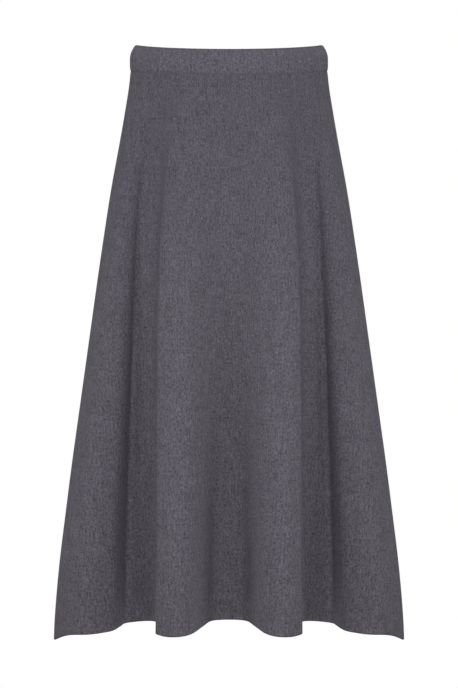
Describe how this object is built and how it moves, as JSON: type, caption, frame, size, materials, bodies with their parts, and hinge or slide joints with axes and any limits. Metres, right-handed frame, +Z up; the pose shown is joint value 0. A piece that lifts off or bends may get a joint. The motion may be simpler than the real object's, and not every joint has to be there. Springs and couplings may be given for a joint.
{
  "type": "a-line maxi skirt",
  "caption": "Flared knitted skirt with two panels and an elasticated waistband, hollow and filled out as if worn.",
  "frame": {"origin": "middle of the waist opening, level with the top of the waistband at the side seams", "axes": "+Z up, -Y the front, +X to the right of someone who looks at the front"},
  "size_m": [0.5188, 0.3135, 0.8793],
  "materials": {
    "heathered_knit": "matt heathered fine-gauge knit, charcoal with a violet cast",
    "waistband_knit": "the same knit, stretched over an elastic"
  },
  "bodies": {
    "root": {"front_panel": "heathered_knit", "back_panel": "heathered_knit", "waistband": "waistband_knit"}
  },
  "joints": []
}
